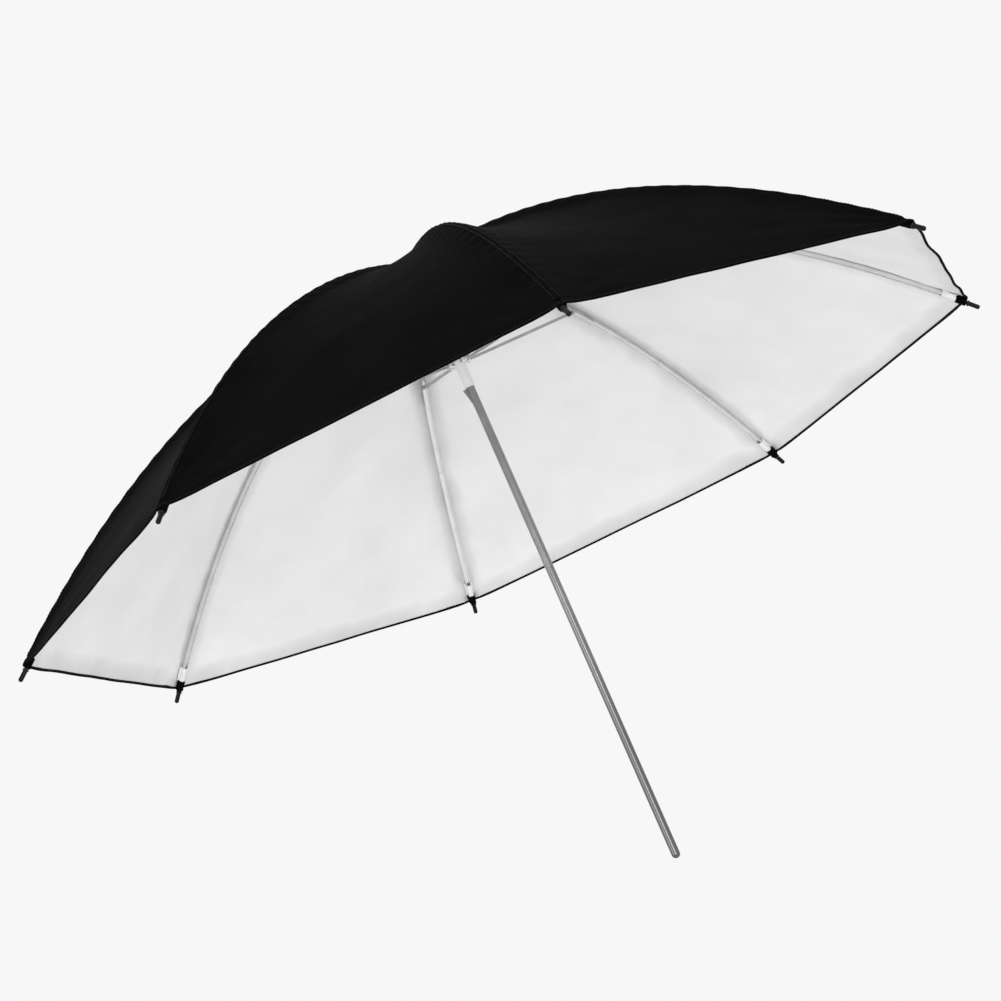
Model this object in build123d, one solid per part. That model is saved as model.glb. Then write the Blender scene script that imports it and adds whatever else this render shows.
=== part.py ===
from build123d import *
import math
import os

# Folding reflector umbrella: eight curved channel ribs hinge on a crown hub at the top of a
# tubular shaft, and eight stretchers hinge between the ribs and a runner that slides on the shaft.
# Millimetres. Origin: centre of the shaft's rounded butt end. +Z: along the shaft to the canopy.
# Each rib's pieces are drawn in the XZ plane and turned to their own place round the shaft.

# ---- canopy -------------------------------------------------------------------------------
rib_count = 8
hem_radius = 480.0  # shaft axis to a hem corner, where the canopy meets a rib's tip
canopy_rise = 226.0  # hem corners to the canopy's apex
rim_height = 386.0  # shaft's butt end to the hem corners
fabric_thickness = 0.6
fabric_hole_radius = 6.0  # hole round the shaft at the canopy's apex
panel_gap = 0.3  # between neighbouring gores, which belong to different ribs

# ---- shaft ----------------------------------------------------------------------------------
shaft_diameter = 8.0
shaft_wall = 0.6
shaft_above_apex = 9.0
end_plug_dome = 4.0
end_plug_spigot = 8.0
spigot_clearance = 0.05
stop_groove_height = 186.0  # rolled ring that marks how far the shaft goes into its holder
stop_groove_width = 1.6
stop_groove_depth = 0.25

# ---- hubs and the wire rings that the ribs and stretchers hinge on ----------------------------
hub_diameter = 22.0
hub_height = 8.0
pivot_radius = 9.5  # shaft axis to the hinge wires
crown_pivot_below_apex = 6.0
hub_slot_width = 2.0
hub_slot_root = 6.6  # radius where a slot ends
wire_diameter = 1.2
wire_clearance = 0.05
eye_clearance = 0.1
cross_pin_diameter = 1.5
crown_pin_below_pivot = 2.6
hub_edge_break = 0.5

# ---- ribs -------------------------------------------------------------------------------------
rib_width = 4.4
rib_depth = 3.2
rib_wall = 0.45
rib_below_fabric = 1.6  # fabric's middle to the rib's back
rib_channel_start = 19.0  # radius where the flat blade becomes a channel
rib_blade_thickness = 1.6
rib_eye_radius = 2.5
rib_solid_end = 3.0

# ---- rib tips ---------------------------------------------------------------------------------
tip_cap_diameter = 4.4
tip_cap_beyond_hem = 14.0
tip_collar_diameter = 4.9
tip_collar_length = 3.0
tip_pin_diameter = 2.4
tip_pin_length = 12.0
tip_pin_clearance = 0.05
channel_end_inside_hem = 4.0
sewing_eye_diameter = 1.0
tip_end_round = 1.8

# ---- saddles, where the stretchers join the ribs -------------------------------------------------
joint_reach = 220.0  # radius on the canopy above the stretcher's joint
joint_below_fabric = 7.8
saddle_wall = 0.55
saddle_fit = 0.05
saddle_inward = 9.0
saddle_outward = 31.0
saddle_lip = 0.4  # the sides reach this far past the rib's open edge
saddle_cut_margin = 1.0  # the cutting shape runs this far past the ends
ear_radius = 2.8
ear_root = 7.0
rivet_diameter = 2.0
rivet_clearance = 0.05
rivet_head_diameter = 3.4
rivet_head_thickness = 0.6

# ---- stretchers ---------------------------------------------------------------------------------
strut_width = 3.2
strut_depth = 2.4
strut_wall = 0.45
strut_blade_thickness = 1.5
strut_eye_radius = 2.4
strut_blade_length = 9.0
strut_solid_end = 6.0

# ---- runner ---------------------------------------------------------------------------------------
runner_clearance = 0.1  # radial, on the shaft
runner_tube_wall = 0.9
runner_tube_above_hub = 0.5
runner_tube_below_pivot = 27.8
catch_to_runner = 0.3

# ---- catch spring that holds the runner up ----------------------------------------------------------
catch_height = 17.3
catch_reach = 3.7  # past the shaft's surface
catch_top_slope = 0.6
catch_thickness = 1.6
catch_side_clearance = 0.2
catch_pivot_below_top = 40.6
catch_leaf_half_width = 0.8
catch_eye_radius = 1.7
catch_back = 1.2  # radius of the catch's inner edge
catch_slot_margin = 2.4
catch_angle = 180.0  # round the shaft from +X

# ---- top fittings -------------------------------------------------------------------------------------
rosette_diameter = 34.0
rosette_thickness = 0.8
rosette_gap = 0.2
ferrule_diameter = 11.0
ferrule_flange_diameter = 15.0
ferrule_flange_thickness = 1.2
ferrule_roof = 1.6

# ---- worked-out sizes ---------------------------------------------------------------------------------
step_angle = 360.0 / rib_count
half_angle = math.radians(step_angle / 2)
apex_height = rim_height + canopy_rise
shaft_radius = shaft_diameter / 2
shaft_bore = shaft_radius - shaft_wall
shaft_top = apex_height + shaft_above_apex
wire_radius = wire_diameter / 2
crown_pivot_height = apex_height - crown_pivot_below_apex
rib_axis_drop = rib_below_fabric + rib_depth / 2
rib_channel_end = hem_radius - channel_end_inside_hem
runner_bore = shaft_radius + runner_clearance
runner_tube_radius = runner_bore + runner_tube_wall
eye_hole_radius = wire_radius + eye_clearance


def canopy_height(radius):
    return rim_height + canopy_rise * (1 - (radius / hem_radius) ** 2)


def canopy_slope(radius, squeeze=1.0):
    return -2 * canopy_rise * radius / hem_radius**2 / squeeze


def below_canopy(radius, drop, squeeze=1.0):
    """Point a normal distance drop under the canopy curve, in a plane through the shaft's axis."""
    slope = canopy_slope(radius, squeeze)
    length = math.hypot(1, slope)
    return Vector(squeeze * radius + drop * slope / length, 0, canopy_height(radius) - drop / length)


def canopy_curve(inner, outer, drop, squeeze=1.0):
    """Arc of the canopy's parabola from one radius to another, moved a distance drop under it."""
    start = below_canopy(inner, drop, squeeze)
    end = below_canopy(outer, drop, squeeze)
    fall_in = canopy_slope(inner, squeeze)
    fall_out = canopy_slope(outer, squeeze)
    meet_x = (end.Z - start.Z + fall_in * start.X - fall_out * end.X) / (fall_in - fall_out)
    meet = Vector(meet_x, 0, start.Z + fall_in * (meet_x - start.X))
    return Bezier(start, meet, end)


def canopy_band(inner, outer, near, far, squeeze=1.0):
    """Face in the XZ plane between two depths under the canopy curve."""
    upper = canopy_curve(inner, outer, near, squeeze)
    lower = canopy_curve(inner, outer, far, squeeze)
    ends = [Line(upper @ 1, lower @ 1), Line(lower @ 0, upper @ 0)]
    return Face(Wire([upper, ends[0], lower, ends[1]]))


def slab(face, thickness):
    """Solid of a face in the XZ plane, thickened evenly to both sides of it."""
    return extrude(face, amount=thickness / 2, dir=(0, 1, 0), both=True)


def outline(points):
    return Face(Wire.make_polygon([Vector(*p) if isinstance(p, tuple) else p for p in points]))


def cross_rod(centre, radius, length):
    """Round rod along Y through a point of the XZ plane."""
    return Plane(origin=centre, z_dir=(0, 1, 0)) * Cylinder(radius, length)


def upright_tube(radius, bore, bottom, top):
    height = top - bottom
    tube = Pos(0, 0, bottom + height / 2) * Cylinder(radius, height)
    if bore > 0:
        tube -= Pos(0, 0, bottom + height / 2) * Cylinder(bore, height)
    return tube


def joint_point():
    """Centre of the rivet between a rib and its stretcher."""
    return below_canopy(joint_reach, joint_below_fabric)


crown_pivot = Vector(pivot_radius, 0, crown_pivot_height)
rib_joint = joint_point()
# The stretcher is as long as the rib's inner part, so the runner's pivot mirrors the crown's.
runner_pivot = Vector(pivot_radius, 0, 2 * rib_joint.Z - crown_pivot.Z)
runner_bottom = runner_pivot.Z - runner_tube_below_pivot
catch_top_height = runner_bottom - catch_to_runner
catch_pivot_height = catch_top_height - catch_pivot_below_top


# ---- shaft group ----------------------------------------------------------------------------------------
def catch_slot():
    bottom = catch_top_height - catch_height - catch_slot_margin
    height = catch_height + 2 * catch_slot_margin
    width = catch_thickness + 2 * catch_side_clearance
    return Pos(shaft_radius, 0, bottom + height / 2) * Box(shaft_radius, width, height)


def shaft_tube():
    tube = upright_tube(shaft_radius, shaft_bore, end_plug_dome, shaft_top)
    tube -= Rot(0, 0, catch_angle) * catch_slot()
    tube -= Rot(0, 0, catch_angle) * catch_pin()
    tube -= crown_pin()
    groove_top = stop_groove_height + stop_groove_width
    return tube - upright_tube(shaft_diameter, shaft_radius - stop_groove_depth, stop_groove_height, groove_top)


def shaft_end_plug():
    spigot_radius = shaft_bore - spigot_clearance
    spigot = upright_tube(spigot_radius, 0, end_plug_dome, end_plug_dome + end_plug_spigot)
    ball = Pos(0, 0, end_plug_dome) * scale(Sphere(shaft_radius), (1, 1, end_plug_dome / shaft_radius))
    dome = ball & Pos(0, 0, end_plug_dome / 2) * Box(shaft_diameter, shaft_diameter, end_plug_dome)
    return dome + spigot


def hinge_hub(pivot_height, bore):
    """Notched ring: one slot for each blade, and a round groove that holds the hinge wire."""
    hub = upright_tube(hub_diameter / 2, bore, pivot_height - hub_height / 2, pivot_height + hub_height / 2)
    hub = chamfer(hub.edges().filter_by(GeomType.CIRCLE).group_by(lambda e: e.radius)[-1], hub_edge_break)
    slot_length = hub_diameter / 2 - hub_slot_root + hub_slot_width
    slot = Box(slot_length, hub_slot_width, 2 * hub_height, align=(Align.MIN, Align.CENTER, Align.CENTER))
    for k in range(rib_count):
        hub -= Rot(0, 0, k * step_angle) * Pos(hub_slot_root, 0, pivot_height) * slot
    return hub - Pos(0, 0, pivot_height) * Torus(pivot_radius, wire_radius + wire_clearance)


def hinge_wire(pivot_height):
    return Pos(0, 0, pivot_height) * Torus(pivot_radius, wire_radius)


def crown_pin():
    """Cross pin between two slots, through the crown hub and the shaft."""
    height = crown_pivot_height - crown_pin_below_pivot
    rod = cross_rod(Vector(0, 0, height), cross_pin_diameter / 2, hub_diameter - 2 * hub_edge_break)
    return Rot(0, 0, step_angle / 2) * rod


def crown_hub():
    return hinge_hub(crown_pivot_height, shaft_radius) - crown_pin()


def canopy_rosette():
    bottom = apex_height + fabric_thickness / 2 + rosette_gap
    return upright_tube(rosette_diameter / 2, shaft_radius, bottom, bottom + rosette_thickness)


def top_ferrule():
    bottom = apex_height + fabric_thickness / 2 + rosette_gap + rosette_thickness
    flange_top = bottom + ferrule_flange_thickness
    cap = upright_tube(ferrule_diameter / 2, 0, flange_top, shaft_top + ferrule_roof)
    cap = fillet(cap.edges().group_by(Axis.Z)[-1], ferrule_roof)
    cap += upright_tube(ferrule_flange_diameter / 2, 0, bottom, flange_top)
    return cap - upright_tube(shaft_radius, 0, bottom, shaft_top)


def catch_pin():
    pivot = Vector(0, 0, catch_pivot_height)
    return cross_rod(pivot, cross_pin_diameter / 2, shaft_diameter - 2 * spigot_clearance)


# ---- catch -----------------------------------------------------------------------------------------------
def catch_spring():
    """Flat spring: a leaf that hinges on its pin inside the shaft, and a tab that stands out of it."""
    tip = shaft_radius + catch_reach
    bottom = catch_top_height - catch_height
    leaf = catch_leaf_half_width
    shape = outline(
        [
            (-leaf, 0, catch_pivot_height),
            (leaf, 0, catch_pivot_height),
            (shaft_bore - spigot_clearance, 0, bottom - catch_slot_margin / 2),
            (tip, 0, catch_top_height - catch_top_slope),
            (shaft_radius, 0, catch_top_height),
            (catch_back, 0, catch_top_height),
        ]
    )
    pivot = Vector(0, 0, catch_pivot_height)
    spring = slab(shape, catch_thickness) + cross_rod(pivot, catch_eye_radius, catch_thickness)
    spring -= cross_rod(pivot, cross_pin_diameter / 2 + rivet_clearance, catch_thickness)
    return Rot(0, 0, catch_angle) * spring


# ---- rib group ---------------------------------------------------------------------------------------------
def tip_axis():
    """Frame at the end of a rib's channel, with its z axis out along the rib."""
    slope = canopy_slope(rib_channel_end)
    return Plane(origin=below_canopy(rib_channel_end, rib_axis_drop), x_dir=(0, 1, 0), z_dir=(1, 0, slope))


def along_tip(radius, length):
    return tip_axis() * Cylinder(radius, length, align=(Align.CENTER, Align.CENTER, Align.MIN))


def rib():
    """Channel open towards the shaft, a flat blade with an eye at the crown and a pin at the tip."""
    back = rib_below_fabric
    channel = slab(canopy_band(rib_channel_start, rib_channel_end, back, back + rib_depth), rib_width)
    hollow = canopy_band(
        rib_channel_start + rib_solid_end, rib_channel_end - rib_solid_end, back + rib_wall, back + 2 * rib_depth
    )
    channel -= slab(hollow, rib_width - 2 * rib_wall)
    eye_top = crown_pivot + Vector(0, 0, rib_eye_radius)
    eye_foot = crown_pivot - Vector(0, 0, rib_eye_radius)
    root = rib_channel_start + rib_solid_end
    upper = below_canopy(root, back + rib_wall)
    lower = below_canopy(root, back + rib_depth)
    blade = slab(outline([eye_top, upper, lower, eye_foot]), rib_blade_thickness)
    blade += cross_rod(crown_pivot, rib_eye_radius, rib_blade_thickness)
    blade -= cross_rod(crown_pivot, eye_hole_radius, rib_width)
    return channel + blade + along_tip(tip_pin_diameter / 2, tip_pin_length)


def rib_tip():
    """Cap pressed on the rib's pin, with an eye in its collar for the thread that holds the canopy."""
    to_hem = channel_end_inside_hem * math.hypot(1, canopy_slope(hem_radius))
    length = to_hem + tip_cap_beyond_hem
    cap = along_tip(tip_cap_diameter / 2, length)
    cap = fillet(cap.edges().group_by(Axis.X)[-1], tip_end_round)
    cap += along_tip(tip_collar_diameter / 2, tip_collar_length)
    cap -= along_tip(tip_pin_diameter / 2 + tip_pin_clearance, tip_pin_length + tip_pin_clearance)
    eye_height = tip_collar_length + sewing_eye_diameter
    eye = tip_axis() * Pos(0, 0, eye_height) * Rot(0, 90, 0)
    return cap - eye * Cylinder(sewing_eye_diameter / 2, tip_collar_diameter)


def rib_saddle():
    """Bracket folded over the rib's back, with two ears that hold the stretcher's rivet."""
    inner = joint_reach - saddle_inward
    outer = joint_reach + saddle_outward
    top = rib_below_fabric - saddle_fit - saddle_wall
    lip = rib_below_fabric + rib_depth + saddle_lip
    side = slab(canopy_band(inner, outer, top, lip), rib_width + 2 * (saddle_fit + saddle_wall))
    along = Vector(1, 0, canopy_slope(joint_reach)).normalized()
    ear = outline(
        [
            below_canopy(joint_reach - ear_root, lip - saddle_wall),
            below_canopy(joint_reach + ear_root, lip - saddle_wall),
            rib_joint + along * ear_radius,
            rib_joint - along * ear_radius,
        ]
    )
    ears = slab(ear, rib_width + 2 * (saddle_fit + saddle_wall))
    ears += cross_rod(rib_joint, ear_radius, rib_width + 2 * (saddle_fit + saddle_wall))
    room = canopy_band(
        inner - saddle_cut_margin,
        outer + saddle_cut_margin,
        rib_below_fabric - saddle_fit,
        joint_below_fabric + 2 * ear_radius,
    )
    saddle = side + ears - slab(room, rib_width + 2 * saddle_fit)
    return saddle - cross_rod(rib_joint, rivet_diameter / 2, 2 * rib_width)


def joint_rivet():
    span = rib_width + 2 * (saddle_fit + saddle_wall)
    rivet = cross_rod(rib_joint, rivet_diameter / 2, span)
    for side in (-1, 1):
        middle = rib_joint + Vector(0, side * (span + rivet_head_thickness) / 2, 0)
        rivet += cross_rod(middle, rivet_head_diameter / 2, rivet_head_thickness)
    return rivet


def canopy_gore():
    """Cloth that belongs to one rib: half of the panel on each side of it, taut between the ribs."""
    squeeze = math.cos(half_angle)
    half = fabric_thickness / 2
    band = canopy_band(fabric_hole_radius, hem_radius, -half, half, squeeze)
    reach = hem_radius * math.sin(half_angle) + fabric_thickness
    gore = None
    for side in (-1, 1):
        panel = extrude(band, amount=reach, dir=(0, -side, 0))
        panel -= Box(3 * hem_radius, panel_gap, 3 * (apex_height + fabric_thickness))
        panel = Rot(0, 0, side * step_angle / 2) * panel
        beside = Box(2 * hem_radius, hem_radius, 2 * shaft_top, align=(Align.CENTER, Align.MIN, Align.CENTER))
        beside = beside if side > 0 else mirror(beside, about=Plane.XZ)
        gore = panel & beside if gore is None else gore + (panel & beside)
    return gore


# ---- stretchers ----------------------------------------------------------------------------------------------
def strut():
    """Straight channel with a full-width eye at the rib and a flat blade with an eye at the runner."""
    line = rib_joint - runner_pivot
    length = line.length
    bar = Pos(length / 2, 0, 0) * Box(length, strut_width, strut_depth)
    hollow_length = length - strut_blade_length - 2 * strut_solid_end
    hollow_middle = strut_blade_length + strut_solid_end + hollow_length / 2
    hollow = Box(hollow_length, strut_width - 2 * strut_wall, strut_depth)
    bar -= Pos(hollow_middle, 0, -strut_wall) * hollow
    bar += cross_rod(Vector(length, 0, 0), strut_eye_radius, strut_width)
    thinning = (strut_width - strut_blade_thickness) / 2
    for side in (-1, 1):
        offset = side * (strut_blade_thickness + thinning) / 2
        waste = Box(2 * strut_blade_length, thinning, 2 * strut_depth)
        bar -= Pos(0, offset, 0) * waste
    bar += cross_rod(Vector(0, 0, 0), strut_eye_radius, strut_blade_thickness)
    bar -= cross_rod(Vector(0, 0, 0), eye_hole_radius, strut_width)
    bar -= cross_rod(Vector(length, 0, 0), rivet_diameter / 2 + rivet_clearance, 2 * strut_width)
    tilt = math.degrees(math.atan2(line.Z, line.X))
    return Pos(*runner_pivot) * Rot(0, -tilt, 0) * bar


# ---- runner ----------------------------------------------------------------------------------------------------
def runner_hub():
    return hinge_hub(runner_pivot.Z, runner_tube_radius)


def runner_tube():
    top = runner_pivot.Z + hub_height / 2 + runner_tube_above_hub
    return upright_tube(runner_tube_radius, runner_bore, runner_bottom, top)


def write(name, shape):
    export_step(shape, f"parts/{name}.step")


os.makedirs("parts", exist_ok=True)
write("shaft_tube", shaft_tube())
write("shaft_end_plug", shaft_end_plug())
write("crown_hub", crown_hub())
write("crown_pin", crown_pin())
write("crown_wire", hinge_wire(crown_pivot_height))
write("canopy_rosette", canopy_rosette())
write("top_ferrule", top_ferrule())
write("catch_pin", Rot(0, 0, catch_angle) * catch_pin())
write("catch_spring", catch_spring())
write("runner_hub", runner_hub())
write("runner_tube", runner_tube())
write("runner_wire", hinge_wire(runner_pivot.Z))

round_the_shaft = {
    "rib": rib(),
    "rib_saddle": rib_saddle(),
    "joint_rivet": joint_rivet(),
    "rib_tip": rib_tip(),
    "canopy_gore": canopy_gore(),
    "strut": strut(),
}
for k in range(rib_count):
    for name, shape in round_the_shaft.items():
        write(f"{name}_{k + 1}", Rot(0, 0, k * step_angle) * shape)
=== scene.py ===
# %% [markdown]
# A studio umbrella that throws light back: black cloth outside, silver cloth inside, on eight
# sprung ribs. The metalwork and the runner come from the CAD frame and only get their finishes
# here. The cloth, its hems, seams, pockets, threads and rosette are made in this script.

# %% Load the frame
import math
import bpy
import numpy as np
from mathutils import Matrix, Vector, noise


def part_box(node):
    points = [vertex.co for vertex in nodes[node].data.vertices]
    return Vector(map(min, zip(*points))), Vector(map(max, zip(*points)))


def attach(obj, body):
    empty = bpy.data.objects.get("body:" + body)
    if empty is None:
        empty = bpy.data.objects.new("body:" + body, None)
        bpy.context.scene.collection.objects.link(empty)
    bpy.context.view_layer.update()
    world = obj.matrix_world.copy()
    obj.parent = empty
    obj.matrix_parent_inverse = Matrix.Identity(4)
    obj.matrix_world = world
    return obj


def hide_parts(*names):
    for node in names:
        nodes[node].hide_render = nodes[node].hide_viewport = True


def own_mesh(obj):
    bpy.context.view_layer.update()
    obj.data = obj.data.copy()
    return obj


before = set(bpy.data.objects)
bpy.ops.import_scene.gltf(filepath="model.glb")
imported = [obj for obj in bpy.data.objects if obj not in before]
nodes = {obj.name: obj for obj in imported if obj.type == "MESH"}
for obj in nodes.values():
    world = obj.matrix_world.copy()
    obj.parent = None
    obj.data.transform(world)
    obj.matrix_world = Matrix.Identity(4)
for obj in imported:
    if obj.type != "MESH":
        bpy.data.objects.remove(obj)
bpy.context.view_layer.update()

# %% [markdown]
# The canopy's driving sizes are the CAD model's. Its crown, its rim and its eight ribs set every
# point of the cloth, so they are named once, in metres. The frame's own box is printed beside them.

# %% Sizes of the canopy
RIBS = 8
STEP = 2 * math.pi / RIBS
HALF = STEP / 2
HEM_RADIUS = 0.480
RISE = 0.226
RIM_HEIGHT = 0.386
ARC = 0.55  # cloth along a rib from the crown to the hem, rounded up
HOLE_RADIUS = 0.0052
CLOTH = 0.0005
STRIP = 0.006
gore_lo, gore_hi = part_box("canopy_gore_1")
print("gore 1 reaches", round(gore_hi.x, 4))
print("gore 1 rises from", round(gore_lo.z, 4), "to", round(gore_hi.z, 4))

# %% [markdown]
# A camera on a long lens looks a little upwards into the umbrella, and it is rolled, so that the
# shaft leans across the picture. It is aimed at a point beside the shaft, just below the hem.

# %% Camera
AIM = Vector((-0.0170, 0.0, 0.3687))
VIEW_AZIMUTH = math.radians(-10.665)
VIEW_ELEVATION = math.radians(-12.765)
VIEW_DISTANCE = 2.7807
VIEW_ROLL = math.radians(-23.698)
camera_data = bpy.data.cameras.new("camera")
camera_data.sensor_width = 36.0
camera_data.lens = 107.49
camera_data.clip_end = 50.0
camera = bpy.data.objects.new("camera", camera_data)
bpy.context.scene.collection.objects.link(camera)
towards = Vector(
    (
        math.sin(VIEW_AZIMUTH) * math.cos(VIEW_ELEVATION),
        -math.cos(VIEW_AZIMUTH) * math.cos(VIEW_ELEVATION),
        math.sin(VIEW_ELEVATION),
    )
)
turn = (-towards).to_track_quat("-Z", "Y").to_matrix().to_4x4()
place = Matrix.Translation(AIM + towards * VIEW_DISTANCE)
camera.matrix_world = place @ turn @ Matrix.Rotation(VIEW_ROLL, 4, "Z")
bpy.context.scene.camera = camera
print("camera at", [round(c, 3) for c in camera.matrix_world.translation])

# %% [markdown]
# The cloth is taut between the ribs. A point on it is given by how far out it lies (reach, from
# 0 at the crown to 1 at the hem corners) and by how far it lies from the rib towards the middle
# of the panel (across, from 0 at the rib to 1, with a sign for the side). Along a rib the cloth
# is a parabola. Between ribs it runs straight, pulled inwards a little by its own tension, and
# the hem hangs about a millimetre below the straight line between two tips.

# %% Shape of the taut cloth
PANEL_DIP = 0.0125
HEM_SAG = 0.002
SEAM_EASE = 0.022
PUCKER = 0.0005
RIPPLE = 0.0012
CORNER_PULL = 0.0011
WAVY_PANELS = {(0, -1), (7, 1), (3, 1), (4, -1)}
WAVE = 0.0022
CORNER_REACH = 0.075  # how far the pulls at a corner run into the cloth
FAN_FOLDS = 11.0
PUCKER_PITCH = 0.021
WIDE_WAVES = 9.0  # waves' noise, per metre
FINE_WAVES = 21.0
HEM_WAVES = 17.0
SHOULDER = 0.0012
SHOULDER_WIDTH = 0.0035


def taut_point(rib, reach, across):
    """The cloth without its ripples: rib counts from 0, and across is from -1 to 1."""
    side = 1 if across >= 0 else -1
    from_middle = 1 - abs(across)
    sag = HEM_SAG * (1 - from_middle**5) * reach**4
    radius = HEM_RADIUS * reach * (1 + sag)
    height = RIM_HEIGHT + RISE * (1 - (radius / HEM_RADIUS) ** 2)
    slope = -2 * RISE * radius / HEM_RADIUS**2 / math.cos(HALF)
    length = math.hypot(1, slope)
    eased = min(1.0, abs(across) * radius * math.sin(HALF) / SEAM_EASE)
    dip = PANEL_DIP * 4 * reach * (1 - reach) * (1 - from_middle**2) * eased**2 * (3 - 2 * eased)
    x = radius * math.cos(HALF) + dip * slope / length
    y = -side * radius * math.sin(HALF) * from_middle
    z = height - dip / length
    middle = (rib * STEP) + side * HALF
    c, s = math.cos(middle), math.sin(middle)
    return Vector((x * c - y * s, x * s + y * c, z))


def ripple(rib, reach, across, point):
    """How far the cloth stands out of its taut shape: soft waves, puckers and pulls at a corner."""
    edge = abs(across)
    from_rib = edge * reach * HEM_RADIUS * math.sin(HALF)
    fine = noise.noise(point * FINE_WAVES + Vector((3.1, 0, 0)))
    wide = noise.noise(point * WIDE_WAVES) + 0.5 * fine
    out = RIPPLE * wide * min(1.0, from_rib / 0.03) * min(1.0, reach * 3)
    along = reach * ARC
    tug = math.exp(-from_rib / 0.016) * min(1.0, from_rib / 0.004)
    out += PUCKER * tug * math.sin(along * 2 * math.pi / PUCKER_PITCH + 5 * noise.noise(point * 6.0))
    to_corner = math.hypot((1 - reach) * ARC, from_rib)
    if to_corner > 1e-6:
        angle = math.atan2(from_rib, (1 - reach) * ARC)
        fan = math.exp(-to_corner / CORNER_REACH) * min(1.0, to_corner / 0.03) * min(1.0, from_rib / 0.008)
        out += CORNER_PULL * fan * math.sin(angle * FAN_FOLDS)
    # The cloth goes round the saddle's shoulders and the rivet heads beside the rib.
    beside = from_rib / SHOULDER_WIDTH
    out += SHOULDER * beside * math.exp(1 - beside) * min(1.0, max(0.0, (reach - 0.05) * 8))
    side = 1 if across >= 0 else -1
    if (rib, side) in WAVY_PANELS:
        hem_near = math.exp(-(1 - reach) * ARC / 0.05) * math.sin(math.pi * min(1.0, edge)) ** 0.5
        out += WAVE * hem_near * noise.noise(point * HEM_WAVES + Vector((0, 7.7, 0))) * 2
    return out


def cloth_frame(rib, reach, across):
    """Point and outward normal of the finished cloth."""
    step = 0.004
    side = 1 if across >= 0 else -1
    if abs(across) < step:
        inner, outer = -side * step, side * step
    else:
        inner = across - side * step if abs(across) > 0.5 else across
        outer = inner + side * step
    low, high = reach - step, reach + step
    here = taut_point(rib, reach, across)
    du = taut_point(rib, reach, outer) - taut_point(rib, reach, inner)
    dv = taut_point(rib, high, across) - taut_point(rib, low, across)
    normal = dv.cross(du) * side
    normal.normalize()
    if normal.z < 0:
        normal.negate()
    return here + normal * ripple(rib, reach, across, here), normal


def place_on_cloth(rib, reach, across, lift):
    point, normal = cloth_frame(rib, reach, across)
    return point + normal * lift


corner, _ = cloth_frame(0, 1.0, 0.0)
print("hem corner at", [round(c, 4) for c in corner])

# %% [markdown]
# Each rib carries the cloth from the middle of one panel to the middle of the next, so that the
# umbrella can fold. A narrow strip over the rib stays with the rib. The halves on its two sides
# are cut in four bands from the crown to the hem, because the hem has far more cloth to gather
# than the crown. The edges of neighbouring pieces are the same points, so that the open canopy is
# one curved sheet with no step or gap.

# %% Grids for the cloth
OUT_STEPS = 110
SIDE_STEPS = 34
INNER_REACH = HOLE_RADIUS / HEM_RADIUS
BAND_EDGES = (INNER_REACH, 0.30, 0.55, 0.80, 1.0)
HEM_BAND = len(BAND_EDGES) - 2


def strip_across(reach):
    """Share of the half panel that the strip takes: a fixed width, or nearly all at the crown."""
    half_width = reach * HEM_RADIUS * math.sin(HALF)
    return min(0.9, STRIP / half_width)


def reaches(low=INNER_REACH, high=1.0):
    """Steps from one reach to another. All pieces have the same steps in a band, so edges match."""
    steps = [low]
    for start, end in zip(BAND_EDGES, BAND_EDGES[1:]):
        if low <= start and end <= high:
            count = max(2, round(OUT_STEPS * (end - start)))
            steps += list(np.linspace(start, end, count + 1)[1:])
    return steps


def across_values(part, reach):
    edge = strip_across(reach)
    part = part.split("_")[0]
    if part == "strip":
        return np.linspace(-edge, edge, 9)
    t = np.linspace(0, 1, SIDE_STEPS + 1)
    values = edge + (1 - edge) * (0.6 * t + 0.4 * t**2)
    return values if part == "left" else -values[::-1]


def new_mesh_object(name, points, faces):
    mesh = bpy.data.meshes.new(name)
    mesh.from_pydata(points, [], faces)
    mesh.validate()
    obj = bpy.data.objects.new(name, mesh)
    bpy.context.scene.collection.objects.link(obj)
    return obj


def cloth_piece(name, rib, part):
    """A closed sheet: black faces outside, silver faces inside, black round its edges."""
    band = PIECES[part]
    rows = []
    for reach in reaches(*band):
        rows.append([cloth_frame(rib, reach, a) + (reach, a) for a in across_values(part, reach)])
    high, wide = len(rows), len(rows[0])
    outer = [p + n * CLOTH / 2 for row in rows for p, n, _, _ in row]
    inner = [p - n * CLOTH / 2 for row in rows for p, n, _, _ in row]
    at = lambda i, j: i * wide + j
    back = high * wide
    faces, finish = [], []
    for i in range(high - 1):
        for j in range(wide - 1):
            quad = (at(i, j), at(i + 1, j), at(i + 1, j + 1), at(i, j + 1))
            faces.append(quad)
            finish.append(0)
            # The inner face turns the other way but keeps its first corner, so that both faces
            # bend along the same diagonal and stay apart.
            faces.append(tuple(back + v for v in (quad[0], *reversed(quad[1:]))))
            finish.append(1)
    rim = [at(0, j) for j in range(wide)] + [at(i, wide - 1) for i in range(1, high)]
    rim += [at(high - 1, j) for j in range(wide - 2, -1, -1)] + [at(i, 0) for i in range(high - 2, 0, -1)]
    for a, b in zip(rim, rim[1:] + rim[:1]):
        faces.append((a, b, back + b, back + a))
        finish.append(0)
    obj = new_mesh_object(name, outer + inner, faces)
    mesh = obj.data
    uv = mesh.uv_layers.new(name="thread_direction")
    threads = [(reach, a) for row in rows for _, _, reach, a in row]
    where = [(a * reach * HEM_RADIUS * math.sin(HALF), reach * ARC) for reach, a in threads] * 2
    for loop in mesh.loops:
        uv.data[loop.index].uv = where[loop.vertex_index]
    for polygon, slot_index in zip(mesh.polygons, finish):
        polygon.material_index = slot_index
    return obj


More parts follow.
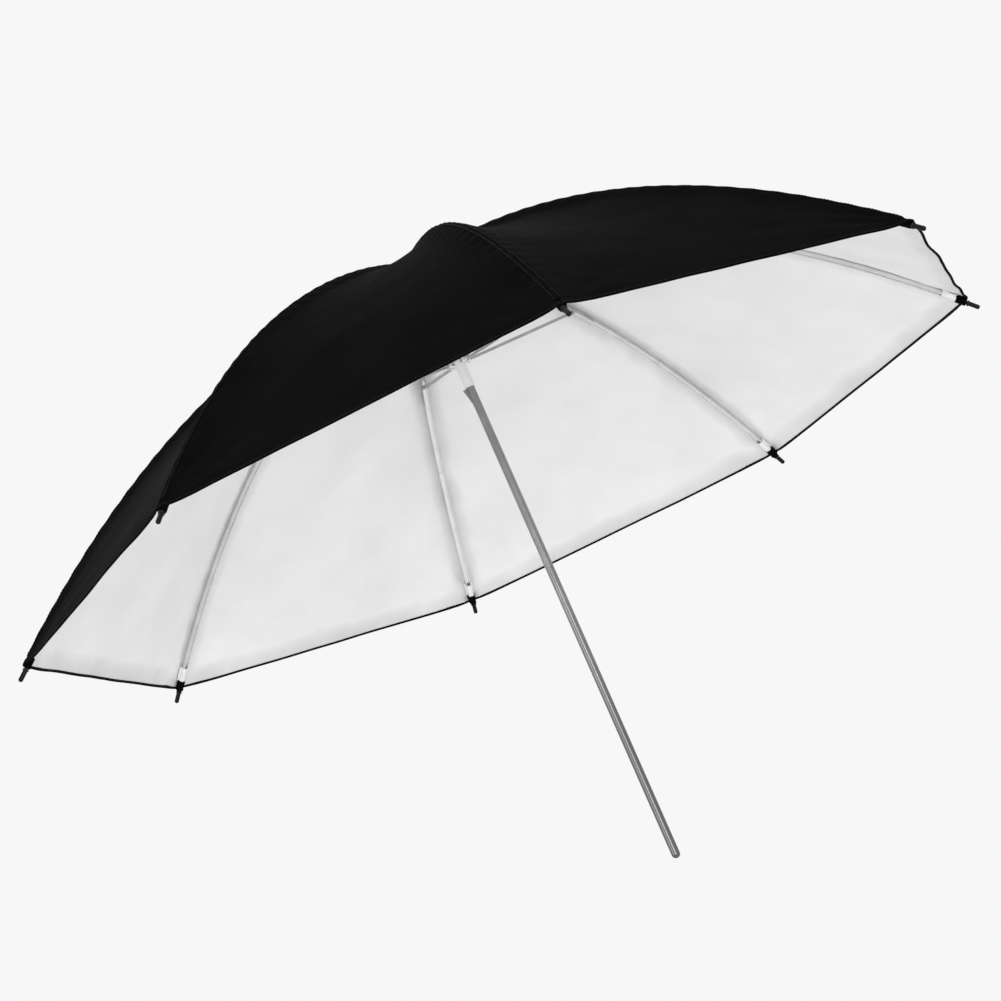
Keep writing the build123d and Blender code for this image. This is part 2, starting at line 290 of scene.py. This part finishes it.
def smooth(obj, degrees=40):
    bpy.ops.object.select_all(action="DESELECT")
    obj.select_set(True)
    bpy.context.view_layer.objects.active = obj
    bpy.ops.object.shade_smooth_by_angle(angle=math.radians(degrees))
    obj.select_set(False)
    return obj


PIECES = {"strip": (INNER_REACH, 1.0)}
for band, limits in enumerate(zip(BAND_EDGES, BAND_EDGES[1:])):
    PIECES[f"left_{band}"] = limits
    PIECES[f"right_{band}"] = limits

cloth = {}
for rib in range(RIBS):
    for part in PIECES:
        piece = smooth(cloth_piece(f"canopy_{part}_{rib + 1}", rib, part))
        cloth[rib, part] = piece
print("cloth:", len(cloth), "pieces,", sum(len(c.data.polygons) for c in cloth.values()), "faces")

# %% [markdown]
# ## Helpers for materials
# Every finish here is a Principled shader with its own small pattern. A number that is the same
# all over goes straight onto the shader's socket. What varies, such as a weave, a brushed grain
# or a faint stain, comes from texture nodes that read the object's own coordinates.

# %% Helpers for materials
def new_material(name, **sockets):
    material = bpy.data.materials.new(name)
    material.use_nodes = True
    shader = material.node_tree.nodes["Principled BSDF"]
    for socket, value in sockets.items():
        shader.inputs[socket.replace("_", " ")].default_value = value
    return material, shader


def node(material, kind, inputs=None, **settings):
    made = material.node_tree.nodes.new("ShaderNode" + kind)
    for setting, value in settings.items():
        setattr(made, setting, value)
    for socket, value in (inputs or {}).items():
        made.inputs[socket].default_value = value
    return made


def link(material, start, end):
    material.node_tree.links.new(start, end)


def noise_at(material, scale, stretch=(1, 1, 1), detail=3.0):
    """Noise on the object's coordinates. Scale counts blotches per metre."""
    coordinates = node(material, "TexCoord")
    mapping = node(material, "Mapping", {"Scale": stretch})
    texture = node(material, "TexNoise", {"Scale": scale, "Detail": detail})
    link(material, coordinates.outputs["Object"], mapping.inputs["Vector"])
    link(material, mapping.outputs["Vector"], texture.inputs["Vector"])
    return texture.outputs["Fac"]


def ramp(material, value, low, high, start=0.3, end=0.7):
    """Turns a 0 to 1 pattern into a colour between two greys, or tints."""
    made = node(material, "ValToRGB")
    made.color_ramp.elements[0].position = start
    made.color_ramp.elements[1].position = end
    made.color_ramp.elements[0].color = (*low, 1)
    made.color_ramp.elements[1].color = (*high, 1)
    link(material, value, made.inputs["Fac"])
    return made.outputs["Color"]


def spread(material, value, low, high):
    made = node(material, "MapRange", {"From Min": 0.3, "From Max": 0.7, "To Min": low, "To Max": high})
    link(material, value, made.inputs["Value"])
    return made.outputs["Result"]


def bump(material, height, distance, strength, under=None):
    made = node(material, "Bump", {"Distance": distance, "Strength": strength})
    link(material, height, made.inputs["Height"])
    if under is not None:
        link(material, under, made.inputs["Normal"])
    return made.outputs["Normal"]


print("helpers ready")

# %% [markdown]
# ## Cloth
# The cover is a tight nylon weave, black outside. Inside it has a silver coat, which fills the
# weave, so that it shines softly and shows faint blotches where the coat is thicker. The weave
# follows the threads through a UV map laid out in metres: u runs round the umbrella, v along
# the rib. Two wave textures at right angles make the threads.

# %% Cloth finishes
THREAD_PITCH = 0.0007
WAVES_PER_SCALE = 2 * math.pi / 20  # a wave texture of scale 1 repeats after this many metres


def weave(material, pitch=THREAD_PITCH):
    """Height of a plain weave whose threads follow the UV map."""
    threads = node(material, "UVMap", uv_map="thread_direction")
    rows = []
    for direction in ("X", "Y"):
        wave = node(material, "TexWave", {"Scale": WAVES_PER_SCALE / pitch}, bands_direction=direction)
        link(material, threads.outputs["UV"], wave.inputs["Vector"])
        rows.append(wave.outputs["Fac"])
    both = node(material, "Math", operation="MAXIMUM")
    link(material, rows[0], both.inputs[0])
    link(material, rows[1], both.inputs[1])
    return both.outputs["Value"]


def cloth_finish(name, low, high, rough, crease, **sockets):
    material, shader = new_material(name, **sockets)
    blotches = noise_at(material, 14.0)
    fine = noise_at(material, 420.0)
    link(material, ramp(material, blotches, low, high), shader.inputs["Base Color"])
    link(material, spread(material, fine, *rough), shader.inputs["Roughness"])
    creases = bump(material, noise_at(material, 38.0, detail=2.0), crease, 0.5)
    threads = bump(material, weave(material), 0.00006, 0.55, under=creases)
    link(material, threads, shader.inputs["Normal"])
    return material


black_cloth = cloth_finish(
    "black_nylon",
    (0.0022, 0.0022, 0.0024),
    (0.0038, 0.0038, 0.0041),
    (0.60, 0.76),
    0.0006,
    Specular_IOR_Level=0.006,
)
silver_cloth = cloth_finish(
    "silver_coated_nylon",
    (0.84, 0.84, 0.845),
    (0.91, 0.91, 0.91),
    (0.40, 0.52),
    0.0005,
    Metallic=0.25,
    Specular_IOR_Level=0.5,
)


# Widths of the painted shade on the silver coat beside each rib and inside the hem, in metres.
RIB_SHADE_WIDTH = 0.032
HEM_SHADE_WIDTH = 0.035


def painted_shade_beside_seams(material, shade_grey=(0.66, 0.66, 0.67, 1)):
    """Painted shade: the coat turns grey beside the ribs and along the hem, in uneven soft patches,
    standing in for the shade where the cloth curves round them.
    """
    threads = node(material, "UVMap", uv_map="thread_direction")
    axes = node(material, "SeparateXYZ")
    link(material, threads.outputs["UV"], axes.inputs["Vector"])
    from_rib = node(material, "Math", operation="ABSOLUTE")
    link(material, axes.outputs["X"], from_rib.inputs[0])
    unshaded_by_rib = node(material, "MapRange", {"From Max": RIB_SHADE_WIDTH}, interpolation_type="SMOOTHERSTEP")
    link(material, from_rib.outputs["Value"], unshaded_by_rib.inputs["Value"])
    to_hem = {"From Min": ARC, "From Max": ARC - HEM_SHADE_WIDTH}
    unshaded_by_hem = node(material, "MapRange", to_hem, interpolation_type="SMOOTHERSTEP")
    link(material, axes.outputs["Y"], unshaded_by_hem.inputs["Value"])
    unshaded = node(material, "Math", operation="MINIMUM")
    link(material, unshaded_by_rib.outputs["Result"], unshaded.inputs[0])
    link(material, unshaded_by_hem.outputs["Result"], unshaded.inputs[1])
    patchy = node(material, "Math", operation="MULTIPLY_ADD")
    link(material, noise_at(material, 22.0), patchy.inputs[0])
    patchy.inputs[1].default_value = 1.1
    link(material, unshaded.outputs["Value"], patchy.inputs[2])
    share = node(material, "MapRange", {"From Min": 0.25, "From Max": 1.15})
    link(material, patchy.outputs["Value"], share.inputs["Value"])
    shader = material.node_tree.nodes["Principled BSDF"]
    coat = shader.inputs["Base Color"].links[0].from_socket
    blend = node(material, "Mix", data_type="RGBA")
    blend.inputs["A"].default_value = shade_grey
    link(material, share.outputs["Result"], blend.inputs["Factor"])
    link(material, coat, blend.inputs["B"])
    link(material, blend.outputs["Result"], shader.inputs["Base Color"])


# Painted shade on the silver coat beside the ribs and along the hem.
painted_shade_beside_seams(silver_cloth)
for piece in cloth.values():
    piece.data.materials.append(black_cloth)
    piece.data.materials.append(silver_cloth)
print("cloth finishes:", black_cloth.name, silver_cloth.name)

# %% [markdown]
# Hems, seams and pockets are long thin pieces whose section hardly changes. They are lofts: a
# ring of points is set across the piece at each step along it, and skinned. The ring's points
# are given on the cloth, by how far in from the hem or away from the rib they lie and how high
# they stand over its face. So they follow each ripple in it.

# %% Lofted trims
# Cloth along the rib for one unit of reach, at the hem's slope. It is shorter further in.
HEM_LENGTH = HEM_RADIUS * math.hypot(1, 2 * RISE / HEM_RADIUS)
PANEL_HALF_WIDTH = HEM_RADIUS * math.sin(HALF)


def loft(name, rings, material):
    """A closed tube through rings of points, with flat ends."""
    count = len(rings[0])
    faces = []
    for i in range(len(rings) - 1):
        for j in range(count):
            k = (j + 1) % count
            faces.append((i * count + j, (i + 1) * count + j, (i + 1) * count + k, i * count + k))
    faces.append(tuple(range(count)))
    faces.append(tuple(reversed(range((len(rings) - 1) * count, len(rings) * count))))
    obj = new_mesh_object(name, [p for ring in rings for p in ring], faces)
    uv = obj.data.uv_layers.new(name="thread_direction")
    for loop in obj.data.loops:
        row, column = divmod(loop.vertex_index, count)
        # u starts 14 mm from the rib, so the silver pockets take part of the painted shade beside the rib.
        uv.data[loop.index].uv = (0.014 + column * 0.0003, row * 0.005)
    obj.data.materials.append(material)
    bpy.ops.object.select_all(action="DESELECT")
    obj.select_set(True)
    bpy.context.view_layer.objects.active = obj
    bpy.ops.object.mode_set(mode="EDIT")
    bpy.ops.mesh.select_all(action="SELECT")
    bpy.ops.mesh.normals_make_consistent(inside=False)
    bpy.ops.object.mode_set(mode="OBJECT")
    return smooth(obj, 50)


# Inward from the hem's edge and up from the cloth's middle, in metres.
HEM_SECTION = [
    (-0.0052, 0.0001),
    (-0.0050, 0.0008),
    (-0.0026, 0.00095),
    (-0.0003, 0.0009),
    (0.0005, 0.0),
    (-0.0003, -0.0009),
    (-0.0014, -0.00095),
    (-0.0023, -0.0008),
    (-0.0025, -0.0001),
]


def hem_ring(rib, across):
    return [place_on_cloth(rib, 1 + inward / HEM_LENGTH, across, lift) for inward, lift in HEM_SECTION]


trims = {key: [] for key in cloth}
hem_parts = ("strip", f"left_{HEM_BAND}", f"right_{HEM_BAND}")
for rib, part in [key for key in cloth if key[1] in hem_parts]:
    rings = [hem_ring(rib, a) for a in across_values(part, 1.0)]
    trims[rib, part].append(loft(f"hem_{part}_{rib + 1}", rings, black_cloth))
print("hems:", RIBS * len(hem_parts), "lengths, each", round(PANEL_HALF_WIDTH, 3), "m or the strip's width")

# %% [markdown]
# The panels are joined over each rib by a flat felled seam: four layers of cloth in a band some
# six millimetres wide, which stands up over the rib. It starts under the rosette and ends at
# the hem.

# %% Seams over the ribs
SEAM_START = 0.035
SEAM_END = 0.985
SEAM_STEPS = 90
# Sideways from the rib and up from the cloth's middle, in metres.
SEAM_SECTION = [
    (-0.0031, 0.0001),
    (-0.0029, 0.0008),
    (-0.0012, 0.00098),
    (0.0, 0.0009),
    (0.0012, 0.00115),
    (0.0029, 0.00095),
    (0.0031, 0.0001),
]


def beside_rib(reach, sideways):
    """The across value of a point that far from the rib's middle."""
    return sideways / (reach * PANEL_HALF_WIDTH)


for rib in range(RIBS):
    rings = []
    for reach in np.linspace(SEAM_START, SEAM_END, SEAM_STEPS):
        rings.append([place_on_cloth(rib, reach, beside_rib(reach, s), lift) for s, lift in SEAM_SECTION])
    trims[rib, "strip"].append(loft(f"seam_{rib + 1}", rings, black_cloth))
print("seams:", RIBS)

# %% [markdown]
# At each corner a small pocket of the silver cloth holds the rib's end. It is a thin U-shaped
# sleeve that lies close round the channel and is sewn to the cloth by its two edges. A shorter
# black sleeve covers the last centimetre, where the hem's ends are folded together.

# %% Pockets for the rib ends
POCKET_START = 0.962
POCKET_END = 0.986
POCKET_STEPS = 16
# Sideways from the rib and down from the cloth's middle, in metres: the outer skin, then back
# along the inner one.
POCKET_SECTION = [
    (-0.0052, -0.0009),
    (-0.0050, -0.0012),
    (-0.0036, -0.0011),
    (-0.0030, -0.0024),
    (-0.0029, -0.0046),
    (-0.0018, -0.0056),
    (0.0018, -0.0056),
    (0.0029, -0.0046),
    (0.0030, -0.0024),
    (0.0036, -0.0011),
    (0.0050, -0.0012),
    (0.0052, -0.0009),
    (0.0033, -0.0009),
    (0.0026, -0.0021),
    (0.0025, -0.0044),
    (0.0016, -0.0052),
    (-0.0016, -0.0052),
    (-0.0025, -0.0044),
    (-0.0026, -0.0021),
    (-0.0033, -0.0009),
]
CORNER_START = 0.984
CORNER_END = 1.0
CORNER_FULLER = 1.12
POCKET_WIDEST = 0.006
CORNER_WIDEST = 0.0038  # without the flanges
FLANGE_DROP = -0.0015  # the flanges above this lie on the cloth, the rest hangs round the rib


def sleeve(name, rib, span, fuller, widest, material):
    """A sleeve round the rib's end. Fuller makes it looser, and widest trims its flanges."""
    rings = []
    for reach in np.linspace(*span, POCKET_STEPS):
        loose = fuller * (1 + 0.05 * math.sin(reach * 400 + rib))
        middle, up = cloth_frame(rib, reach, 0.0)
        sideways = Vector((-math.sin(rib * STEP), math.cos(rib * STEP), 0))
        ring = []
        for s, drop in POCKET_SECTION:
            s = max(-widest, min(widest, s)) * loose
            drop *= fuller
            if drop > FLANGE_DROP * fuller:
                ring.append(place_on_cloth(rib, reach, beside_rib(reach, s), drop))
            else:
                ring.append(middle + sideways * s + up * drop)
        rings.append(ring)
    return loft(name, rings, material)


for rib in range(RIBS):
    span = (POCKET_START, POCKET_END)
    pocket = sleeve(f"tip_pocket_{rib + 1}", rib, span, 1.0, POCKET_WIDEST, silver_cloth)
    span = (CORNER_START, CORNER_END)
    corner_sleeve = sleeve(f"corner_{rib + 1}", rib, span, CORNER_FULLER, CORNER_WIDEST, black_cloth)
    trims[rib, "strip"] += [pocket, corner_sleeve]
print("pockets:", RIBS)

# %% [markdown]
# ## Stitches and threads
# One stitch is a short length of thread that dips into the cloth at both ends. It starts as a
# low sphere, which is drawn out and has its ends pressed down. It is then repeated along each
# seam. A few dozen faces are enough, because there are thousands of stitches.

# %% One stitch
STITCH_LENGTH = 0.0022
STITCH_WIDTH = 0.00036
STITCH_HEIGHT = 0.00030
STITCH_PITCH = 0.0030


def make_thread_material(name, low, high):
    material, shader = new_material(name, Roughness=0.6, Specular_IOR_Level=0.25)
    link(material, ramp(material, noise_at(material, 900.0), low, high), shader.inputs["Base Color"])
    link(material, bump(material, noise_at(material, 3000.0), 0.00005, 0.6), shader.inputs["Normal"])
    return material


black_thread = make_thread_material("black_thread", (0.010, 0.010, 0.011), (0.022, 0.022, 0.024))
grey_thread = make_thread_material("silver_thread", (0.62, 0.62, 0.63), (0.78, 0.78, 0.79))

bpy.ops.object.select_all(action="DESELECT")
bpy.ops.mesh.primitive_uv_sphere_add(segments=6, ring_count=5, radius=0.5)
stitch = bpy.context.object
stitch.name = "stitch"
bpy.ops.object.mode_set(mode="EDIT")
bpy.ops.mesh.select_all(action="SELECT")
bpy.ops.transform.rotate(value=math.pi / 2, orient_axis="Y", center_override=(0, 0, 0))
bpy.ops.transform.resize(value=(STITCH_LENGTH, STITCH_WIDTH, STITCH_HEIGHT))
bpy.ops.mesh.select_all(action="DESELECT")
bpy.ops.object.mode_set(mode="OBJECT")
for vertex in stitch.data.vertices:
    vertex.select = abs(vertex.co.x) > 0.45 * STITCH_LENGTH
bpy.ops.object.mode_set(mode="EDIT")
bpy.ops.transform.translate(value=(0, 0, -0.6 * STITCH_HEIGHT))
bpy.ops.object.mode_set(mode="OBJECT")
print("one stitch:", len(stitch.data.polygons), "faces")


def shape_of(master):
    points = np.array([v.co for v in master.data.vertices])
    return points, [tuple(p.vertices) for p in master.data.polygons]


def repeat(name, master, places, material):
    """One mesh that holds a copy of the master at each place."""
    points, shape = shape_of(master)
    all_points, faces = [], []
    for n, place in enumerate(places):
        turn_part = np.array(place.to_3x3())
        all_points.append(points @ turn_part.T + np.array(place.translation))
        faces += [tuple(v + n * len(points) for v in face) for face in shape]
    obj = new_mesh_object(name, np.concatenate(all_points).tolist(), faces)
    obj.data.materials.append(material)
    return smooth(obj, 60)


def discard(master):
    bpy.ops.object.select_all(action="DESELECT")
    master.select_set(True)
    bpy.ops.object.delete()


# %% [markdown]
# A stitch needs a place and two directions: the way that the seam runs and the way out of the
# cloth. These come from two points of the cloth that lie close together.

# %% Places on the cloth
def place_along(rib, reach, across, lift, run):
    """Matrix at a point of the cloth: X runs along the rib or round the hem, and Z out of the cloth."""
    point, normal = cloth_frame(rib, reach, across)
    if run == "rib":
        ahead, _ = cloth_frame(rib, reach + 0.004, across)
    else:
        ahead, _ = cloth_frame(rib, reach, across + (0.01 if across < 0.9 else -0.01))
    along = ahead - point
    along = (along - normal * along.dot(normal)).normalized()
    side = normal.cross(along)
    return Matrix.Translation(point + normal * lift) @ Matrix((along, side, normal)).transposed().to_4x4()


HEM_ROW = 0.0016
SEAM_ARC = 0.553
for (rib, part), group in trims.items():
    if part not in hem_parts:
        continue
    edges = across_values(part, 1.0)
    width = (max(edges) - min(edges)) * PANEL_HALF_WIDTH
    count = max(2, round(width / STITCH_PITCH))
    spots = min(edges) + (max(edges) - min(edges)) * (np.arange(count) + 0.5) / count
    for face, lift in (("outer", 0.00098), ("inner", -0.00098)):
        places = [place_along(rib, 1 - HEM_ROW / HEM_LENGTH, a, lift, "hem") for a in spots]
        if face == "inner":
            places = [p @ Matrix.Rotation(math.pi, 4, "X") for p in places]
        group.append(repeat(f"hem_stitches_{face}_{part}_{rib + 1}", stitch, places, black_thread))
for rib in range(RIBS):
    count = round((SEAM_END - SEAM_START) * SEAM_ARC / STITCH_PITCH)
    places = []
    for reach in np.linspace(SEAM_START + 0.006, SEAM_END - 0.004, count):
        for sideways in (-0.0021, 0.0021):
            lift = 0.00105 if sideways > 0 else 0.00092
            places.append(place_along(rib, reach, beside_rib(reach, sideways), lift, "rib"))
    trims[rib, "strip"].append(repeat(f"seam_stitches_{rib + 1}", stitch, places, black_thread))
print("stitched:", sum(len(g) for g in trims.values()), "trims so far")

# %% [markdown]
# The cover is also tied to the frame by hand: a loop of thread round each rib in two places, and
# a few turns of thread through the eye of each tip. A loop is a torus. It is pressed into the
# upright oval that goes round the channel.

# %% Ties on the ribs and tips
TIE_REACHES = (0.30, 0.70)
TIE_DROP = 0.0034
TIP_DROP = 0.0032


def ring_of_thread(name, width, height, thread):
    bpy.ops.object.select_all(action="DESELECT")
    bpy.ops.mesh.primitive_torus_add(
        major_segments=20,
        minor_segments=6,
        major_radius=width / 2,
        minor_radius=thread,
        rotation=(0, math.pi / 2, 0),
    )
    ring = bpy.context.object
    ring.name = name
    bpy.ops.object.transform_apply(location=True, rotation=True, scale=True)
    bpy.ops.object.mode_set(mode="EDIT")
    bpy.ops.mesh.select_all(action="SELECT")
    bpy.ops.transform.resize(value=(1, 1, height / width))
    bpy.ops.object.mode_set(mode="OBJECT")
    return ring


tie = ring_of_thread("tie", 0.0050, 0.0050, 0.00016)
tip_turn = ring_of_thread("tip_turn", 0.0052, 0.0054, 0.00022)
for rib in range(RIBS):
    places = []
    for reach in TIE_REACHES:
        middle = place_along(rib, reach, 0.0, -TIE_DROP, "rib")
        places += [middle @ Matrix.Translation((shift, 0, 0)) for shift in (-0.0004, 0.0001, 0.0006)]
    trims[rib, "strip"].append(repeat(f"ties_{rib + 1}", tie, places, grey_thread))
    middle = place_along(rib, 1.0, 0.0, -TIP_DROP, "rib")
    places = [middle @ Matrix.Translation((shift, 0, 0)) for shift in (0.0016, 0.0021, 0.0027)]
    trims[rib, "strip"].append(repeat(f"tip_thread_{rib + 1}", tip_turn, places, black_thread))
discard(tie)
discard(tip_turn)
print("ties on", RIBS, "ribs")

# %% [markdown]
# ## Rosette
# Under the ferrule, a round patch covers the hole in the crown. It is cut with pinking shears,
# so that its edge is a zigzag and doesn't fray, and it is sewn down with two rings of stitches.
# It is cut from the same cloth in two layers, and it droops with the crown that it lies on.

# %% Rosette with a pinked edge
ROSETTE_RADIUS = 0.0168
ROSETTE_BORE = 0.0041
ROSETTE_FOOT = 0.61252
ROSETTE_THICK = 0.0007
TEETH = 40
ROSETTE_RINGS = 9
ROSETTE_ROWS = (0.0098, 0.0142)  # radii of its two rows of stitches


def rosette_point(ring, spoke, lift):
    share = ring / (ROSETTE_RINGS - 1)
    tooth = 0.0007 * (-1) ** spoke * max(0.0, (share - 0.8) / 0.2)
    radius = ROSETTE_BORE + share * (ROSETTE_RADIUS - ROSETTE_BORE) + tooth
    angle = spoke * math.pi / TEETH
    flutter = 0.00012 * math.sin(5 * angle) * share
    droop = (RISE * (radius / HEM_RADIUS) ** 2) * 0.5 * share
    height = ROSETTE_FOOT + lift - droop + flutter
    return Vector((radius * math.cos(angle), radius * math.sin(angle), height))


spokes = 2 * TEETH
points = []
for lift in (0, ROSETTE_THICK):
    points += [rosette_point(r, s, lift) for r in range(ROSETTE_RINGS) for s in range(spokes)]
layer = ROSETTE_RINGS * spokes
faces = []
for s in range(spokes):
    t = (s + 1) % spokes
    for r in range(ROSETTE_RINGS - 1):
        a, b, c, d = r * spokes + s, (r + 1) * spokes + s, (r + 1) * spokes + t, r * spokes + t
        faces.append((d, c, b, a))
        faces.append((layer + a, layer + b, layer + c, layer + d))
    outer = (ROSETTE_RINGS - 1) * spokes
    faces.append((outer + s, outer + t, layer + outer + t, layer + outer + s))
    faces.append((t, s, layer + s, layer + t))
rosette = new_mesh_object("rosette", points, faces)
uv = rosette.data.uv_layers.new(name="thread_direction")
for loop in rosette.data.loops:
    uv.data[loop.index].uv = rosette.data.vertices[loop.vertex_index].co.xy
rosette.data.materials.append(black_cloth)
smooth(rosette, 50)
places = []
for radius in ROSETTE_ROWS:
    count = round(2 * math.pi * radius / STITCH_PITCH)
    for n in range(count):
        height = ROSETTE_FOOT + ROSETTE_THICK + 0.00002
        spin = Matrix.Rotation(2 * math.pi * n / count, 4, "Z")
        places.append(spin @ Matrix.Translation((radius, 0, height)) @ Matrix.Rotation(math.pi / 2, 4, "Z"))
rosette_stitches = repeat("rosette_stitches", stitch, places, black_thread)
discard(stitch)
print("rosette:", len(rosette.data.polygons), "faces and", len(places), "stitches")

# %% [markdown]
# ## Metal and plastic
# The metal parts are the CAD frame's own. The shaft is a nickel-plated tube with a fine grain
# along its length, the ribs are bright zinc-plated channels, the hubs are turned aluminium, and
# the catch is plain spring steel. Stretched noise makes the grain of the shaft, hubs and catch.

# %% Metal finishes
def metal_finish(name, low, high, rough, stretch, grain=0.15):
    material, shader = new_material(name, Metallic=1.0)
    link(material, ramp(material, noise_at(material, 60.0), low, high), shader.inputs["Base Color"])
    lines = noise_at(material, 600.0, stretch=stretch)
    link(material, spread(material, lines, *rough), shader.inputs["Roughness"])
    link(material, bump(material, lines, 0.000006, grain), shader.inputs["Normal"])
    return material


ALONG_Z = (1, 1, 0.02)
ROUND_Z = (0.05, 0.05, 1)
EVEN = (1, 1, 1)
# Each CAD slot or kind of node: the finish's name, its darkest and lightest tint, its roughness
# and the way that its grain runs.
METALS = {
    "shaft_steel": ("nickel_tube", (0.27, 0.27, 0.265), (0.34, 0.34, 0.33), (0.28, 0.36), ALONG_Z, 0.02),
    "rib_steel": ("zinc_channel", (0.87, 0.87, 0.875), (0.95, 0.95, 0.95), (0.34, 0.46), EVEN),
    "rivet_steel": ("dark_rivet", (0.16, 0.16, 0.17), (0.24, 0.24, 0.25), (0.24, 0.36), EVEN),
    "hub_metal": ("turned_aluminium", (0.78, 0.78, 0.79), (0.88, 0.88, 0.89), (0.28, 0.40), ROUND_Z),
    "strut": ("drawn_steel", (0.38, 0.38, 0.38), (0.48, 0.48, 0.48), (0.28, 0.38), EVEN),
    "rib_saddle": ("pressed_saddle", (0.56, 0.56, 0.57), (0.68, 0.68, 0.69), (0.24, 0.36), EVEN),
    "spring_steel": ("spring_steel", (0.26, 0.26, 0.27), (0.36, 0.36, 0.37), (0.30, 0.45), ALONG_Z),
}
finishes = {slot: metal_finish(*values) for slot, values in METALS.items()}

# %% [markdown]
# The runner's sleeve is white nylon. The tips are moulded in black plastic. Both shine softly, with
# the faint orange peel of a moulding and a few duller patches where hands and cloth rub them.

# %% Plastic finishes
def plastic_finish(name, low, high, rough, **sockets):
    material, shader = new_material(name, **sockets)
    patches = noise_at(material, 150.0)
    link(material, ramp(material, patches, low, high), shader.inputs["Base Color"])
    link(material, spread(material, patches, *rough), shader.inputs["Roughness"])
    link(material, bump(material, noise_at(material, 900.0), 0.00003, 0.3), shader.inputs["Normal"])
    return material


finishes["runner_sleeve"] = plastic_finish(
    "white_nylon", (0.80, 0.80, 0.80), (0.86, 0.86, 0.86), (0.32, 0.44)
)
finishes["black_plastic"] = plastic_finish(
    "black_moulded_tip", (0.004, 0.004, 0.004), (0.008, 0.008, 0.008), (0.30, 0.42), Specular_IOR_Level=0.12
)
finishes["canopy_cloth"] = silver_cloth
finishes["black_cloth"] = black_cloth


def painted_shade_lower_half(material, low, high, shade=(0.15, 0.15, 0.15, 1)):
    """Painted shade: the shaft's lower half is darker than its upper half, standing in for the darker
    reflection it shows below the canopy.
    """
    coordinates = node(material, "TexCoord")
    axes = node(material, "SeparateXYZ")
    link(material, coordinates.outputs["Object"], axes.inputs["Vector"])
    share = node(material, "MapRange", {"From Min": low, "From Max": high})
    link(material, axes.outputs["Z"], share.inputs["Value"])
    shader = material.node_tree.nodes["Principled BSDF"]
    plating = shader.inputs["Base Color"].links[0].from_socket
    blend = node(material, "Mix", data_type="RGBA")
    blend.inputs["A"].default_value = shade
    link(material, share.outputs["Result"], blend.inputs["Factor"])
    link(material, plating, blend.inputs["B"])
    link(material, blend.outputs["Result"], shader.inputs["Base Color"])


# Painted shade darkens the shaft below the canopy.
painted_shade_lower_half(finishes["shaft_steel"], 0.12, 0.34)

for name, cad_node in nodes.items():
    slot_name = cad_node.data.materials[0].name.split(".")[0]
    finish = finishes.get(name.rsplit("_", 1)[0], finishes[slot_name])
    cad_node.data.materials.clear()
    cad_node.data.materials.append(finish)
print("finishes on", len(nodes), "CAD nodes")

# %% [markdown]
# ## Riding the frame
# Each strip, with its seam, pocket and ties, is rigid and goes with its own rib. The half panels
# beside it, with their hems and stitches, go with the same rib, each on its own copy of its mesh.
# A sheet's area is measured on its own outer face. Its length is taken at the hem's slope, so for
# the bands further in, and for the strip, it is longer than the cloth really is.


def flat_area(piece):
    """Area of the cloth's outer face."""
    return sum(p.area for p in piece.data.polygons if p.material_index == 0 and p.normal.z > 0.2)


for (rib, part), piece in cloth.items():
    side_name, _, band = part.partition("_")
    side = {"left": 1, "right": -1, "strip": 0}[side_name]
    for obj in [piece] + trims[rib, part]:
        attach(obj, f"rib_arm_{rib + 1}")
        if side:
            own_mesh(obj)
    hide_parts(f"canopy_gore_{rib + 1}")
    inner, outer = PIECES[part]
    width = 2 * STRIP if part == "strip" else PANEL_HALF_WIDTH * outer - STRIP
for obj in (rosette, rosette_stitches):
    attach(obj, "shaft")
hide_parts("canopy_rosette")
print("whole cover:", round(sum(flat_area(c) for c in cloth.values()), 3), "square metres of cloth")

# %% [markdown]
# ## Studio
# The backdrop is an almost white world, which lights the silver cloth evenly from all round, as a
# light tent would. Three soft lights only add shape and a bright line along the metal. The
# floor is pale too. It lies well below the umbrella, so that views from below don't look through it.

# %% Floor
bpy.ops.object.select_all(action="DESELECT")
FLOOR_SIZE = 300
FLOOR_HEIGHT = -4.2
bpy.ops.mesh.primitive_plane_add(size=FLOOR_SIZE, location=(0, 0, FLOOR_HEIGHT))
floor = bpy.context.object
floor.name = "floor"
floor_material, floor_shader = new_material("pale_floor", Roughness=0.8)
floor_tone = ramp(floor_material, noise_at(floor_material, 3.0), (0.86, 0.86, 0.86), (0.90, 0.90, 0.90))
link(floor_material, floor_tone, floor_shader.inputs["Base Color"])
floor.data.materials.append(floor_material)


# %% Lights
def soft_light(name, place, aim, width, height, power):
    data = bpy.data.lights.new(name, "AREA")
    data.shape = "RECTANGLE"
    data.size = width
    data.size_y = height
    data.energy = power
    lamp = bpy.data.objects.new(name, data)
    bpy.context.scene.collection.objects.link(lamp)
    lamp.matrix_world = Matrix.Translation(place) @ (
        (Vector(aim) - Vector(place)).to_track_quat("-Z", "Y").to_matrix().to_4x4()
    )
    return lamp


soft_light("front_fill", (-0.5, -3.0, -0.2), (0, 0, 0.45), 1.2, 1.2, 25)
soft_light("front_strip", (-0.2, -3.0, 0.75), (0, 0, 0.3), 0.25, 1.3, 11)
soft_light("left_key", (-2.6, -1.2, 0.3), (0, 0, 0.4), 1.2, 1.2, 12)

world = bpy.data.worlds.new("studio")
world.use_nodes = True
bpy.context.scene.world = world
world.node_tree.nodes["Background"].inputs["Color"].default_value = (0.93, 0.93, 0.93, 1)
bpy.context.scene.view_settings.view_transform = "Standard"
bpy.context.scene.view_settings.look = "None"
